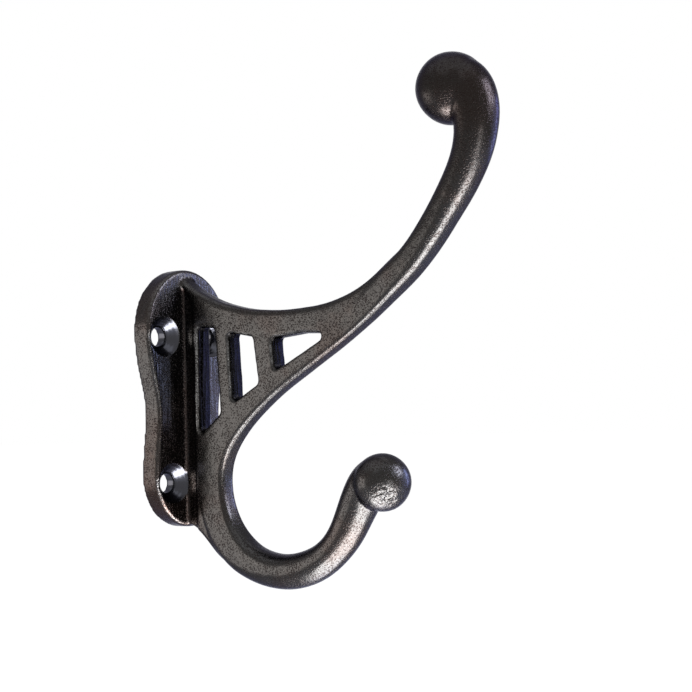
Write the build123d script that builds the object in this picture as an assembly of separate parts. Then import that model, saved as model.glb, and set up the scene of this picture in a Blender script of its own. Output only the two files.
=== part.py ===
# Cast iron double coat hook: one casting, with a wall plate, a pierced web and an S-shaped spine.
# Frame: origin at the middle of the plate's back face, which lies in the plane Y = 0.
# The hook reaches towards -Y, +Z is up, and the casting is symmetric about the plane X = 0.
# All sizes are in millimetres.
from build123d import *
import os

# Wall plate
PLATE_THICK = 5.5
PLATE_HALF_HEIGHT = 33.5
LOBE_TOP_HALF = 14.4
LOBE_TOP_RISE = 16.0
LOBE_LOW_HALF = 12.4
LOBE_LOW_RISE = 13.5
WAIST_HALF = 11.0
WAIST_Z = -3.5
PLATE_EDGE_RADIUS = 0.9

# Screw holes, countersunk from the front
HOLE_DIA = 5.0
SINK_DIA = 10.0
SINK_TOOL_DIA = 10.4
SINK_TOOL_REACH = 4.0
HOLE_TOP_X = 8.5
HOLE_TOP_Z = 16.0
HOLE_LOW_X = 6.5
HOLE_LOW_Z = -22.0

# Web in the plane X = 0
WEB_THICK = 5.0
WEB_EDGE_RADIUS = 1.2
ROOT_THICK = 3.2
SEAT_DEPTH = 1.5

# Web outline, as distance from the wall and height
STRUT_TOP = [
    (PLATE_THICK, 31.2),
    (13.0, 26.7),
    (21.0, 23.8),
    (36.5, 21.4),
    (48.0, 21.4),
    (58.0, 22.6),
    (65.5, 24.8),
    (71.5, 27.8),
    (77.0, 31.4),
    (81.5, 34.3),
]
WEB_FOOT = [(PLATE_THICK, -32.8), (10.8, -35.4), (15.0, -39.3), (19.2, -42.3)]
RECESS_TOP = [(PLATE_THICK, 29.1), (7.9, 27.0), (9.5, 23.4)]

# Openings in the web, at its middle plane, where the draft from both sides meets
DRAFT_ANGLE = 9.0
OPENING_CORNER = 0.8
OPENINGS = {
    "wall": [(11.4, 18.1), (17.1, 17.4), (18.6, -4.1), (11.2, -9.4)],
    "middle": [(22.5, 16.0), (30.7, 14.7), (32.3, 3.1), (23.4, -1.3)],
    "tip": [(37.8, 14.0), (48.0, 14.9), (57.0, 14.6), (41.2, 7.4), (38.4, 6.3)],
}

# Spine stations from the lower ball to the upper one:
# distance from the wall, height, width in the web's plane, thickness across it
SPINE = [
    (71.2, -21.4, 12.2, 12.2),
    (66.0, -24.2, 10.5, 10.5),
    (59.3, -34.7, 8.8, 8.8),
    (46.6, -43.3, 8.8, 8.8),
    (33.4, -43.9, 8.8, 8.4),
    (20.9, -37.8, 9.1, 6.8),
    (14.6, -25.5, 9.1, 5.2),
    (16.1, -14.6, 8.6, 5.1),
    (23.0, -6.5, 7.4, 5.1),
    (37.9, 3.6, 6.4, 5.1),
    (55.9, 13.1, 6.3, 5.1),
    (68.8, 20.9, 6.7, 5.2),
    (75.3, 25.5, 7.1, 5.9),
    (82.2, 30.5, 7.1, 6.6),
    (94.0, 43.0, 8.0, 8.0),
    (100.8, 52.9, 9.4, 9.4),
    (103.3, 61.0, 10.6, 10.6),
    (102.5, 67.3, 12.0, 12.0),
    (98.2, 71.6, 13.0, 13.0),
]
WEB_STATIONS = slice(5, 14)
SPINE_CORNER = 1.3
ROUND_SHARE = 0.49

# Balls
BALL_TOP_RADIUS = 8.7
BALL_TOP_AT = (96.4, 70.5)
BALL_LOW_RADIUS = 7.1
BALL_LOW_AT = (71.5, -22.1)

# Cutters reach this far past what they cut
PAST = 1.0


def side(point):
    """A point of the plane X = 0 from its distance from the wall and its height."""
    return Vector(0, -point[0], point[1])


def plate():
    """The flat wall plate: a wide upper lobe, a waist and a narrower lower lobe."""
    top_z = PLATE_HALF_HEIGHT - LOBE_TOP_RISE
    low_z = LOBE_LOW_RISE - PLATE_HALF_HEIGHT
    top_arc = EllipticalCenterArc((0, top_z), LOBE_TOP_HALF, LOBE_TOP_RISE, 0, arc_size=90)
    low_arc = EllipticalCenterArc((0, low_z), LOBE_LOW_HALF, LOBE_LOW_RISE, 270, arc_size=90)
    flank = Spline(
        (LOBE_LOW_HALF, low_z),
        (WAIST_HALF, WAIST_Z),
        (LOBE_TOP_HALF, top_z),
        tangents=[(0, 1), (0, 1)],
    )
    right = Curve() + [low_arc, flank, top_arc]
    outline = make_face(Plane.XZ * (right + mirror(right, Plane.YZ)))
    slab = extrude(outline, PLATE_THICK, dir=(0, -1, 0))
    rim = slab.faces().sort_by(Axis.Y)[0].edges()
    return fillet(rim, PLATE_EDGE_RADIUS)


def web():
    """The flat web between the plate and the spine, with rounded upper and lower edges."""
    strut_top = Spline([side(p) for p in STRUT_TOP])
    foot = Spline([side(p) for p in WEB_FOOT])
    inside = PLATE_THICK - SEAT_DEPTH
    back = [strut_top @ 0, side((inside, STRUT_TOP[0][1])), side((inside, WEB_FOOT[0][1])), foot @ 0]
    front = [foot @ 1, *(side(s) for s in SPINE[WEB_STATIONS]), strut_top @ 1]
    outline = make_face(Curve() + [strut_top, foot, Polyline(back), Polyline(front)])
    panel = extrude(outline, WEB_THICK / 2, dir=(1, 0, 0), both=True)
    curved = [e for e in panel.edges() if e.geom_type == GeomType.BSPLINE]
    return fillet(curved, WEB_EDGE_RADIUS)


def opening(corners):
    """A cutter for one opening: narrowest at the middle plane and wider by the draft at both faces."""
    outline = make_face(Polyline([side(p) for p in corners], close=True))
    outline = fillet(outline.vertices(), OPENING_CORNER)
    halves = [extrude(outline, WEB_THICK, dir=(way, 0, 0), taper=-DRAFT_ANGLE) for way in (1, -1)]
    return halves[0] + halves[1]


def spine():
    """The S-shaped spine: flat-sided along the web and round in the arms."""
    path = Spline([side(s) for s in SPINE])
    sections = []
    for distance, height, width, thick in SPINE:
        share = path.param_at_point(side((distance, height)))
        along = Plane(origin=side((distance, height)), x_dir=(1, 0, 0), z_dir=path % share)
        roundness = min(1.0, max(0.0, (thick - WEB_THICK) / (SPINE[2][3] - WEB_THICK)))
        corner = SPINE_CORNER + (ROUND_SHARE * min(width, thick) - SPINE_CORNER) * roundness
        sections.append(along * RectangleRounded(thick, width, corner))
    return loft(sections)


def recess():
    """The pair of grooves that thin the web next to the plate, clear of the screw heads."""
    top = Spline([side(p) for p in RECESS_TOP])
    low = -2 * PLATE_HALF_HEIGHT
    walls = Polyline(top @ 0, side((RECESS_TOP[0][0], low)), side((RECESS_TOP[-1][0], low)), top @ 1)
    outline = make_face(Curve() + [top, walls])
    groove = Pos(ROOT_THICK / 2, 0, 0) * extrude(outline, WEB_THICK, dir=(1, 0, 0))
    return groove + mirror(groove, Plane.YZ)


def screw_hole(x, z):
    """A countersunk screw hole, with the clearance that the sinking tool leaves before the plate."""
    depth = (SINK_DIA - HOLE_DIA) / 2
    bore = Cylinder(HOLE_DIA / 2, PLATE_THICK + 2 * PAST)
    sink = Cone(HOLE_DIA / 2, SINK_DIA / 2, depth)
    tool = Cylinder(SINK_TOOL_DIA / 2, SINK_TOOL_REACH)
    shape = Pos(0, 0, PLATE_THICK / 2) * bore
    shape += Pos(0, 0, PLATE_THICK - depth / 2) * sink
    shape += Pos(0, 0, PLATE_THICK + SINK_TOOL_REACH / 2) * tool
    return Pos(x, 0, z) * Rot(90, 0, 0) * shape


def coat_hook():
    """The whole casting."""
    body = plate() + (web() - recess())
    body += spine()
    body += Pos(side(BALL_TOP_AT)) * Sphere(BALL_TOP_RADIUS)
    body += Pos(side(BALL_LOW_AT)) * Sphere(BALL_LOW_RADIUS)
    for corners in OPENINGS.values():
        body -= opening(corners)
    for x, z in ((HOLE_TOP_X, HOLE_TOP_Z), (HOLE_LOW_X, HOLE_LOW_Z)):
        body -= screw_hole(x, z)
        body -= screw_hole(-x, z)
    return body


os.makedirs("parts", exist_ok=True)
hook = coat_hook()
hook.label = "coat_hook"
export_step(hook, "parts/coat_hook.step")
print("volume in cm3:", round(hook.volume / 1000, 2))
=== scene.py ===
import math

import bpy
import numpy as np
from mathutils import Matrix, Vector


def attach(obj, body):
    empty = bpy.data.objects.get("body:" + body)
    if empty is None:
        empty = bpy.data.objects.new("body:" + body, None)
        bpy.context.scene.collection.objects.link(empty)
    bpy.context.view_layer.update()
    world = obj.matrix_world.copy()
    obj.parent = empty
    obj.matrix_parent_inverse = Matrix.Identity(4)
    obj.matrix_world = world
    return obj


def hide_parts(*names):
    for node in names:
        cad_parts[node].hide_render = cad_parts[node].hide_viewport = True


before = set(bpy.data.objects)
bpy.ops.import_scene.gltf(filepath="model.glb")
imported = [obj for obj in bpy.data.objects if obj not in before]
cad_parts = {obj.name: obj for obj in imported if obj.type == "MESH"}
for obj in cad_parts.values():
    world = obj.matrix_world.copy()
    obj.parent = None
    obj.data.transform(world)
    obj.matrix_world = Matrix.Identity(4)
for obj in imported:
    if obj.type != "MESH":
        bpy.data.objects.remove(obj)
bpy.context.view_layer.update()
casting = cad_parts["coat_hook"]


# The iron casting
# One piece of grey iron, poured in a sand mould that parts along the middle of the web, then blackened
# and waxed. The sand leaves a fine pitted skin, and handling rubs the high spots towards bare metal; the
# lightened edges also stand in as painted highlight, and painted shade darkens the upper arm and
# hollows.

class Wire:
    """A node socket that can be used in Python sums: each operator adds a Math node."""

    def __init__(self, tree, socket):
        self.tree = tree
        self.socket = socket

    def math(self, operation, *others):
        made = self.tree.node("ShaderNodeMath", {"operation": operation}, [self, *others])
        return made.out("Value")

    def __add__(self, other):
        return self.math("ADD", other)

    def __sub__(self, other):
        return self.math("SUBTRACT", other)

    def __rsub__(self, other):
        return self.math("SUBTRACT", other).math("MULTIPLY", -1.0)

    def __mul__(self, other):
        return self.math("MULTIPLY", other)

    def __truediv__(self, other):
        return self.math("DIVIDE", other)

    def __pow__(self, other):
        return self.math("POWER", other)

    __radd__ = __add__
    __rmul__ = __mul__

    def clamp(self):
        return self.math("MAXIMUM", 0.0).math("MINIMUM", 1.0)

    def step(self, start, end):
        """0 below start, 1 above end, and a smooth ramp between them."""
        share = ((self - start) / (end - start)).clamp()
        return share * share * (3.0 - 2.0 * share)


class Made:
    """One node of a material, with its outputs as wires, by name or number."""

    def __init__(self, tree, made):
        self.tree = tree
        self.made = made

    def out(self, name):
        return Wire(self.tree, self.made.outputs[name])


class Finish:
    """A material whose nodes are added one after another."""

    def __init__(self, name, tree=None):
        self.material = None
        if tree is None:
            self.material = bpy.data.materials.new(name)
            self.material.use_nodes = True
            tree = self.material.node_tree
        self.nodes = tree.nodes
        self.links = tree.links
        self.nodes.clear()

    def node(self, kind, settings=None, inputs=None):
        """Adds a node and sets its settings, then links or sets its inputs, by name or in order."""
        made = self.nodes.new(kind)
        for key, value in (settings or {}).items():
            setattr(made, key, value)
        pairs = inputs.items() if isinstance(inputs, dict) else enumerate(inputs or [])
        for key, value in pairs:
            if isinstance(value, Wire):
                self.links.new(value.socket, made.inputs[key])
            else:
                made.inputs[key].default_value = value
        return Made(self, made)

    def noise(self, place, size, detail=2.0, roughness=0.5):
        """Grey noise from 0 to 1, whose main lumps have a size in metres."""
        inputs = {"Vector": place, "Scale": 1.0 / size, "Detail": detail, "Roughness": roughness}
        return self.node("ShaderNodeTexNoise", None, inputs).out("Fac")

    def mix(self, share, first, second):
        """A colour between two colours."""
        return self.node("ShaderNodeMix", {"data_type": "RGBA"}, {0: share, 6: first, 7: second}).out(2)

    def surface(self, **inputs):
        """Ends the material with one shader, whose inputs are given by name."""
        named = {key.replace("_", " "): value for key, value in inputs.items()}
        return self.end(self.node("ShaderNodeBsdfPrincipled", None, named).out("BSDF"))

    def end(self, look, output="ShaderNodeOutputMaterial"):
        """Links a shader to the output."""
        self.node(output, None, {"Surface": look})
        return self.material


WELD_GAP = 0.000002
CAST_GRID = 0.00042
SOFTEN_SHARE = 0.5
SOFTEN_ROUNDS = 6
WAVE_HEIGHT = 0.00005
# Each wave has a direction and a length, and each dent a centre, a radius and a depth.
WAVES = [((0.61, 0.50, 0.61), 0.0071), ((-0.45, 0.77, 0.45), 0.0093), ((0.30, -0.52, 0.80), 0.0121)]
DENTS = [
    ((-0.0043, -0.0765, -0.0258), 0.0022, 0.00050),
    ((-0.0056, -0.0752, -0.0238), 0.0011, 0.00022),
    ((-0.0051, -0.0749, -0.0268), 0.0009, 0.00020),
    ((-0.0034, -0.0781, -0.0241), 0.0010, 0.00018),
    ((-0.0049, -0.0766, -0.0229), 0.0008, 0.00014),
]
# The corners of the web's openings, as distance from the wall and height
OPENINGS = [
    [(0.0114, 0.0181), (0.0171, 0.0174), (0.0186, -0.0041), (0.0112, -0.0094)],
    [(0.0225, 0.0160), (0.0307, 0.0147), (0.0323, 0.0031), (0.0234, -0.0013)],
    [(0.0378, 0.0140), (0.0480, 0.0149), (0.0570, 0.0146), (0.0412, 0.0074), (0.0384, 0.0063)],
]
OPENING_HALF = 0.0021
OPENING_DRAFT = 0.0005


def cast_skin(node):
    """The casting with the soft edges and corners that sand leaves.

    The node's surface is merged and laid out again on an even grid, and each vertex goes halfway to the
    mean of its neighbours a few times. Then it moves along its normal by low waves, the mean of three
    sines of the place along slanted directions, and sinks round each dent by the dent's depth times
    exp(-(distance / radius) squared). The back stays on the wall, in the plane Y = 0.
    """
    mesh = node.data.copy()
    skin = bpy.data.objects.new("iron_casting", mesh)
    bpy.context.scene.collection.objects.link(skin)
    weld = skin.modifiers.new("weld", "WELD")
    weld.merge_threshold = WELD_GAP
    grid = skin.modifiers.new("grid", "REMESH")
    grid.mode = "VOXEL"
    grid.voxel_size = CAST_GRID
    grid.use_smooth_shade = True
    soften = skin.modifiers.new("soften", "SMOOTH")
    soften.factor = SOFTEN_SHARE
    soften.iterations = SOFTEN_ROUNDS
    shaped = bpy.data.meshes.new_from_object(skin.evaluated_get(bpy.context.evaluated_depsgraph_get()))
    skin.modifiers.clear()
    skin.data = shaped
    bpy.data.meshes.remove(mesh)

    count = len(shaped.vertices)
    place = np.empty(count * 3, np.float32)
    normal = np.empty(count * 3, np.float32)
    shaped.vertices.foreach_get("co", place)
    shaped.vertex_normals.foreach_get("vector", normal)
    place, normal = place.reshape(-1, 3), normal.reshape(-1, 3)
    shift = sum(np.sin(place @ np.array(way) * (2 * math.pi / length)) for way, length in WAVES)
    shift *= WAVE_HEIGHT / len(WAVES)
    for centre, radius, depth in DENTS:
        shift -= depth * np.exp(-np.sum((place - np.array(centre)) ** 2, axis=1) / radius**2)
    place += normal * shift[:, None]
    place[:, 1] = np.minimum(place[:, 1], 0.0)
    shaped.vertices.foreach_set("co", place.ravel())
    marks = {"opening_wall": opening_walls(place), "bend": bends(shaped, place, normal)}
    for name, values in marks.items():
        mark = shaped.attributes.new(name, "FLOAT", "POINT")
        mark.data.foreach_set("value", values.astype(np.float32))
    shaped.update()
    return skin


def bends(mesh, place, normal):
    """How sharply the surface bends at each vertex: above 0 on an edge and below 0 in a corner.

    It is the height of the vertex over the mean of its neighbours, along its normal, as a share of the
    grid, and then the mean of that over the neighbours.
    """
    ends = np.empty(len(mesh.edges) * 2, np.int32)
    mesh.edges.foreach_get("vertices", ends)
    ends = ends.reshape(-1, 2)
    neighbours = np.bincount(ends.ravel(), minlength=len(place))

    def mean(values):
        first = np.bincount(ends[:, 0], values[ends[:, 1]], len(place))
        return (first + np.bincount(ends[:, 1], values[ends[:, 0]], len(place))) / neighbours

    centre = np.stack([mean(place[:, axis]) for axis in range(3)], axis=1)
    return mean(np.sum((place - centre) * normal, axis=1) / CAST_GRID)


def opening_walls(place):
    """1 on the walls of the web's openings and 0 elsewhere.

    A vertex is on them where it lies between the web's faces and, for one of the openings, its distance
    outside the line of every side is less than the draft.
    """
    side = np.stack((-place[:, 1], place[:, 2]), axis=1)
    marked = np.zeros(len(place))
    for corners in OPENINGS:
        start = np.array(corners)
        run = np.roll(start, -1, axis=0) - start
        run /= np.linalg.norm(run, axis=1)[:, None]
        away = side[:, None, :] - start[None, :, :]
        outside = np.max(run[:, 0] * away[:, :, 1] - run[:, 1] * away[:, :, 0], axis=1)
        marked = np.maximum(marked, (outside < OPENING_DRAFT) & (np.abs(place[:, 0]) < OPENING_HALF))
    return marked


# The screw holes, as distance from the middle and height
HOLES = [(0.0085, 0.016), (-0.0085, 0.016), (0.0065, -0.022), (-0.0065, -0.022)]
BORE_RADIUS = 0.0025
SINK_START = 0.003
PLATE_FRONT = -0.0055

# Where each mark on the iron fades in and out, in metres
TURNED_EDGE = (0.00004, 0.00030)
TURNED_END = (PLATE_FRONT - 0.0004, PLATE_FRONT - 0.0002)
SCAR_CENTRE = DENTS[0][0]
SCAR_RADII = (0.0012, 0.0042)
DAMP_DEPTH = (-0.014, -0.006)
DAMP_HEIGHT = (-0.032, 0.006)
FRONT_START = (-0.0075, -0.0060)
FRONT_END = (-0.0054, -0.0046)
# Painted shade: the upper arm is darkened from this height upward
UPPER_SHADE_HEIGHT = (0.028, 0.066)

# The sizes of the patterns and the heights of their relief, in metres
GRAIN_SIZE, GRAIN_HEIGHT = 0.00028, 0.000022
PIT_SIZE, PIT_DEPTH = 0.00046, 0.000032
SPECKLE_SIZE = 0.00038
CROWD_SIZE = 0.0033
WAVE_SIZE, SKIN_WAVE_HEIGHT = 0.0043, 0.00014
BLOTCH_SIZE = 0.017
CHIP_SIZE, CHIP_HEIGHT = 0.0011, 0.00030
DRAG_SIZE, DRAG_HEIGHT = 0.00080, 0.00030
DRAG_STRETCH = (1.0, 1.0, 0.06)
RING_PITCH, RING_HEIGHT = 0.0007, 0.000008

# How much each pattern counts in the colour, the relief and the roughness
RUST_SHARE, DAMP_SHARE = 0.3, 0.5
GRAIN_SHARE, PIT_SHARE, UPPER_SHADE_SHARE = 0.45, 0.65, 0.45
WEAR_AND_HIGHLIGHT_SHARE, CORNER_SHADE_SHARE, FRONT_DRAG = 0.7, 0.8, 0.5
SKIN_ROUGH, PIT_ROUGH, BLOTCH_ROUGH, TURNED_ROUGH = 0.19, 0.16, 0.06, 0.22

# Dark pit colour, also laid on as painted shade on the upper arm and in the corners
PIT_AND_SHADE = (0.0085, 0.0050, 0.0042, 1.0)
# Near-black painted shade for the walls of the openings
OPENING_SHADE = (0.0042, 0.0038, 0.0036, 1.0)
WARM_IRON = (0.027, 0.0255, 0.0245, 1.0)
RUSTY_IRON = (0.031, 0.019, 0.015, 1.0)
BRIGHT_IRON = (0.065, 0.063, 0.062, 1.0)
# Light colour for the edges: partly rubbed wear, partly painted highlight
WEAR_AND_HIGHLIGHT_IRON = (0.30, 0.295, 0.29, 1.0)
TURNED_IRON = (0.042, 0.042, 0.048, 1.0)
EDGE_SHARE = (0.5, 0.5, 0.55, 1.0)


def blackened_iron():
    """Blackened grey iron with a sand-cast skin, and smooth turned countersinks.

    The colour starts as dark iron with rusty blotches and bright grains. Pits darken it, painted shade
    darkens the upper arm, the corners and the walls of the openings, and the edges are lightened partly
    by wear and partly as painted highlight. The relief is the sum of the pits, the grain, low waves, the
    chips round the scar on the lower ball, and the upright drag lines in the openings and on the front
    of the plate.
    """
    iron = Finish("blackened_iron")
    place = iron.node("ShaderNodeTexCoord").out("Object")
    axes = iron.node("ShaderNodeSeparateXYZ", None, [place])
    x, y, z = axes.out("X"), axes.out("Y"), axes.out("Z")
    bend = iron.node("ShaderNodeAttribute", {"attribute_name": "bend"}).out("Fac")
    wall = iron.node("ShaderNodeAttribute", {"attribute_name": "opening_wall"}).out("Fac")

    grain = iron.noise(place, GRAIN_SIZE)
    speckle = iron.noise(place, SPECKLE_SIZE, roughness=0.6)
    crowd = iron.noise(place, CROWD_SIZE)
    waves = iron.noise(place, WAVE_SIZE)
    blotch = iron.noise(place, BLOTCH_SIZE, detail=3.0, roughness=0.6)
    chips = iron.noise(place, CHIP_SIZE)
    upright = iron.node("ShaderNodeMapping", None, {"Vector": place, "Scale": DRAG_STRETCH})
    drag = iron.noise(upright.out("Vector"), DRAG_SIZE)
    spots = iron.node("ShaderNodeTexVoronoi", None, {"Vector": place, "Scale": 1.0 / PIT_SIZE})
    spread = spots.out("Distance") + (speckle - 0.5) * 0.5 + (crowd - 0.5) * 0.5
    pit = 1.0 - spread.step(0.20, 0.48)

    from_axis = None
    for hole_x, hole_z in HOLES:
        across = ((x - hole_x) ** 2.0 + (z - hole_z) ** 2.0) ** 0.5
        from_axis = across if from_axis is None else from_axis.math("MINIMUM", across)
    cone = (y * -1.0 - SINK_START).clamp() + BORE_RADIUS
    turned = (1.0 - (from_axis - cone).step(*TURNED_EDGE)) * y.step(*TURNED_END)
    from_scar = sum((axis - middle) ** 2.0 for axis, middle in zip((x, y, z), SCAR_CENTRE)) ** 0.5
    scar = 1.0 - from_scar.step(*SCAR_RADII)
    damp = y.step(*DAMP_DEPTH) * (1.0 - z.step(*DAMP_HEIGHT))
    front = y.step(*FRONT_START) * (1.0 - y.step(*FRONT_END))
    pulled = (wall + front * FRONT_DRAG).clamp()
    # Convex edges lightened: partly rubbed wear, partly painted highlight
    wear_and_highlight = bend.step(0.05, 0.14) * speckle.step(0.40, 0.55)
    # Painted shade in the concave corners and creases
    corner_shade = 1.0 - bend.step(-0.10, -0.02)

    rust = (blotch.step(0.45, 0.66) * RUST_SHARE + damp * DAMP_SHARE).clamp()
    skin = iron.mix(rust, WARM_IRON, RUSTY_IRON)
    skin = iron.mix(grain.step(0.52, 0.68) * GRAIN_SHARE, skin, BRIGHT_IRON)
    skin = iron.mix(pit * PIT_SHARE, skin, PIT_AND_SHADE)
    # Painted shade: the upper arm is darkened towards the top
    skin = iron.mix(z.step(*UPPER_SHADE_HEIGHT) * UPPER_SHADE_SHARE, skin, PIT_AND_SHADE)
    skin = iron.mix(wear_and_highlight * WEAR_AND_HIGHLIGHT_SHARE, skin, WEAR_AND_HIGHLIGHT_IRON)
    # Corners and creases darkened as painted shade
    skin = iron.mix(corner_shade * CORNER_SHADE_SHARE, skin, PIT_AND_SHADE)
    # The walls of the openings are darkened almost to black as painted shade
    skin = iron.mix(wall, skin, OPENING_SHADE)
    colour = iron.mix(turned, skin, TURNED_IRON)

    cast = grain * GRAIN_HEIGHT - pit * PIT_DEPTH + waves * SKIN_WAVE_HEIGHT
    cast = cast + scar * chips.step(0.35, 0.65) * CHIP_HEIGHT + pulled * drag * DRAG_HEIGHT
    rings = (from_axis * (2 * math.pi / RING_PITCH)).math("SINE") * RING_HEIGHT
    relief = cast * (1.0 - turned) + rings * turned
    bump = iron.node("ShaderNodeBump", None, {"Strength": 1.0, "Distance": 1.0, "Height": relief})
    skin_rough = SKIN_ROUGH + PIT_ROUGH * pit + BLOTCH_ROUGH * blotch
    rough = skin_rough * (1.0 - turned) + TURNED_ROUGH * turned
    return iron.surface(
        Base_Color=colour,
        Roughness=rough,
        Metallic=1.0,
        Specular_Tint=EDGE_SHARE,
        Normal=bump.out("Normal"),
    )


hook = cast_skin(casting)
hook.data.materials.clear()
hook.data.materials.append(blackened_iron())
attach(hook, "root")
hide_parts("coat_hook")


# The floor and the light
# A plain white room: a matt floor that keeps the shadow, an even white light and a soft ceiling.
# Six small windows stand below, in front, on the left, at the side, on the right and high up, and
# their streaks show the iron's form.
FLOOR_Z = -0.16
FLOOR_SIZE = 40.0
FLOOR_WHITE = (0.8, 0.8, 0.8, 1.0)
WHITE = (1.0, 1.0, 1.0, 1.0)
ROOM_LEVEL = 0.55
FLOOR_GLOW_NEAR = 0.25
FLOOR_GLOW_FAR = 0.58
FLOOR_GLOW_REACH = (0.12, 0.60)


def seen(look):
    """1 where a surface is seen by the camera, in metal or through glass, and 0 where it only lights."""
    path = look.node("ShaderNodeLightPath")
    ways = path.out("Is Camera Ray") + path.out("Is Glossy Ray") + path.out("Is Transmission Ray")
    return ways.clamp()


def white_floor():
    """A matt white floor, with a glow that grows with the distance up to the white of the room."""
    floor = Finish("white_floor")
    place = floor.node("ShaderNodeTexCoord").out("Object")
    away = floor.node("ShaderNodeVectorMath", {"operation": "LENGTH"}, [place]).out("Value")
    level = FLOOR_GLOW_NEAR + (FLOOR_GLOW_FAR - FLOOR_GLOW_NEAR) * away.step(*FLOOR_GLOW_REACH)
    matt = floor.node("ShaderNodeBsdfDiffuse", None, {"Color": FLOOR_WHITE})
    glow = floor.node("ShaderNodeEmission", None, {"Color": WHITE, "Strength": seen(floor) * level})
    both = floor.node("ShaderNodeAddShader", None, [matt.out("BSDF"), glow.out("Emission")])
    return floor.end(both.out("Shader"))


bpy.ops.mesh.primitive_plane_add(size=FLOOR_SIZE, location=(0, 0, FLOOR_Z))
ground = bpy.context.object
ground.name = "floor"
ground.data.materials.append(white_floor())

room = bpy.data.worlds.new("white_room")
room.use_nodes = True
room.node_tree.nodes.clear()
walls = Finish("white_room", room.node_tree)
room_light = seen(walls) * (1.0 - ROOM_LEVEL) + ROOM_LEVEL
air = walls.node("ShaderNodeBackground", None, {"Color": WHITE, "Strength": room_light})
walls.end(air.out("Background"), "ShaderNodeOutputWorld")
bpy.context.scene.world = room

CENTRE = Vector((0.0, -0.055, 0.01))
CEILING_DISTANCE = 0.90
WINDOW_DISTANCE = 0.46
PLAIN_LIGHT = (0.97, 0.99, 1.0)
WARM_LIGHT = (1.0, 0.97, 0.93)
PALE_SKY = (0.85, 0.90, 1.0)
BRIGHT_SKY = (0.74, 0.80, 1.0)
BLUE_SKY = (0.45, 0.55, 1.0)


def window(name, place, facing, size, radiance, colour):
    """A soft rectangular light that stands at a place and faces a direction, unseen by the camera."""
    width, height = size
    lamp = bpy.data.lights.new(name, "AREA")
    lamp.shape = "RECTANGLE"
    lamp.size = width
    lamp.size_y = height
    lamp.energy = radiance * math.pi * width * height
    lamp.color = colour
    body = bpy.data.objects.new(name, lamp)
    bpy.context.scene.collection.objects.link(body)
    body.location = place
    body.rotation_euler = Vector(facing).to_track_quat("-Z", "Y").to_euler()
    body.visible_camera = False


def far_window(name, way, distance, size, radiance, colour):
    """A window at a distance from the hook in a direction, which faces the hook."""
    way = Vector(way).normalized()
    window(name, CENTRE + way * distance, -way, size, radiance, colour)


window("low_window", (-0.028, -0.158, -0.15), (0, 0, 1), (0.155, 0.28), 30.0, PLAIN_LIGHT)
window("front_window", (-0.10, -0.32, -0.07), (0.25, 0.90, 0.25), (0.08, 0.14), 7.0, PLAIN_LIGHT)
window("left_window", (-0.165, 0.135, -0.02), (0.74, -0.67, 0.0), (0.16, 0.14), 4.3, WARM_LIGHT)
far_window("ceiling", (-0.2, 0.1, 1.0), CEILING_DISTANCE, (1.2, 1.2), 1.0, PALE_SKY)
far_window("right_window", (0.93, -0.35, 0.10), WINDOW_DISTANCE, (0.16, 0.26), 14.0, BLUE_SKY)
far_window("side_window", (0.79, -0.61, 0.03), WINDOW_DISTANCE, (0.16, 0.30), 2.4, BLUE_SKY)
far_window("high_window", (0.45, -0.72, 0.48), WINDOW_DISTANCE, (0.24, 0.24), 18.0, BRIGHT_SKY)


# The camera
# It stands about half a metre away, a little below the middle of the hook, to the left of the web.
AZIMUTH = math.radians(-48.0)
ELEVATION = math.radians(-2.0)
ROLL = math.radians(1.4)
DISTANCE = 0.55
TARGET = Vector((0.0, -0.0608, 0.0113))
SENSOR = 36.0
PHOTO_WIDTH = 692.0
FOCAL_PIXELS = 2245.0

back = Vector((
    math.sin(AZIMUTH) * math.cos(ELEVATION),
    -math.cos(AZIMUTH) * math.cos(ELEVATION),
    math.sin(ELEVATION),
))
lens = bpy.data.cameras.new("camera")
lens.lens = SENSOR * FOCAL_PIXELS / PHOTO_WIDTH
lens.sensor_width = SENSOR
camera = bpy.data.objects.new("camera", lens)
bpy.context.scene.collection.objects.link(camera)
camera.location = TARGET + back * DISTANCE
camera.rotation_mode = "QUATERNION"
tilt = Matrix.Rotation(-ROLL, 3, "Z").to_quaternion()
camera.rotation_quaternion = back.to_track_quat("Z", "Y") @ tilt
bpy.context.scene.camera = camera
bpy.context.scene.view_settings.view_transform = "Standard"
